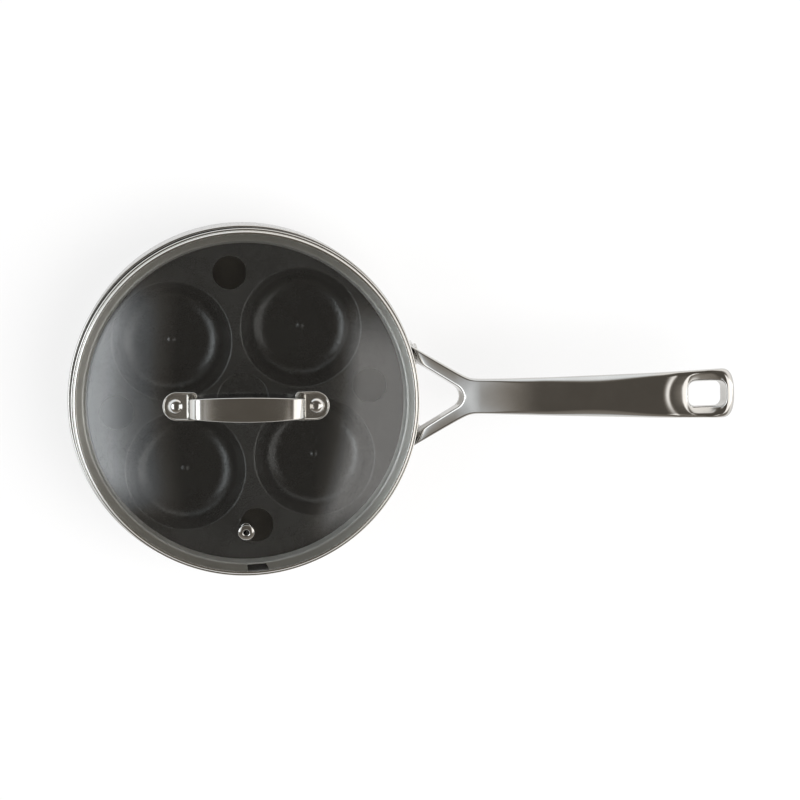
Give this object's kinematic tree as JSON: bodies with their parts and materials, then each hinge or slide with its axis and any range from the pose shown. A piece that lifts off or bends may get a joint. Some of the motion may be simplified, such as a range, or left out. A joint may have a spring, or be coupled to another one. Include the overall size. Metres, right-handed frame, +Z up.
{
  "type": "egg poacher pan",
  "caption": "Clad steel egg poaching pan with a forked cast handle, a lift-out non-stick tray of pressed cups and a domed glass lid.",
  "frame": {"origin": "middle of the pan's underside", "axes": "+X along the long handle, away from the pan; +Z up, out of the pan's mouth"},
  "size_m": [0.3981, 0.2105, 0.12],
  "materials": {
    "pan_steel": "satin-polished stainless steel",
    "cast_steel": "mirror-polished cast stainless steel",
    "strap_steel": "polished stainless strap, satin on top",
    "band_steel": "polished rolled stainless strip",
    "rivet_steel": "polished stainless steel",
    "nonstick_coating": "sprayed non-stick coating with a fine texture, over pressed aluminium",
    "lid_glass": "clear tempered glass",
    "silicone": "matt silicone rubber"
  },
  "bodies": {
    "pan": {"pan_vessel": "pan_steel", "long_handle": "cast_steel", "handle_rivet_near": "rivet_steel", "handle_rivet_far": "rivet_steel"},
    "tray": {"poacher_tray": "nonstick_coating"},
    "lid": {"lid_glass": "lid_glass", "lid_band": "band_steel", "lid_handle": "strap_steel", "lid_rivet_left": "rivet_steel", "foot_gasket_left": "silicone", "seal_washer_left": "silicone", "backing_washer_left": "rivet_steel", "lid_rivet_right": "rivet_steel", "foot_gasket_right": "silicone", "seal_washer_right": "silicone", "backing_washer_right": "rivet_steel", "steam_vent_eyelet": "rivet_steel", "steam_vent_seal": "silicone"}
  },
  "joints": [
    {"name": "tray_lift", "type": "slide", "parent": "pan", "child": "tray", "axis": [0, 0, 1], "range_m": [0, 0.1]},
    {"name": "lid_lift", "type": "slide", "parent": "tray", "child": "lid", "axis": [0, 0, 1], "range_m": [0, 0.12]}
  ]
}
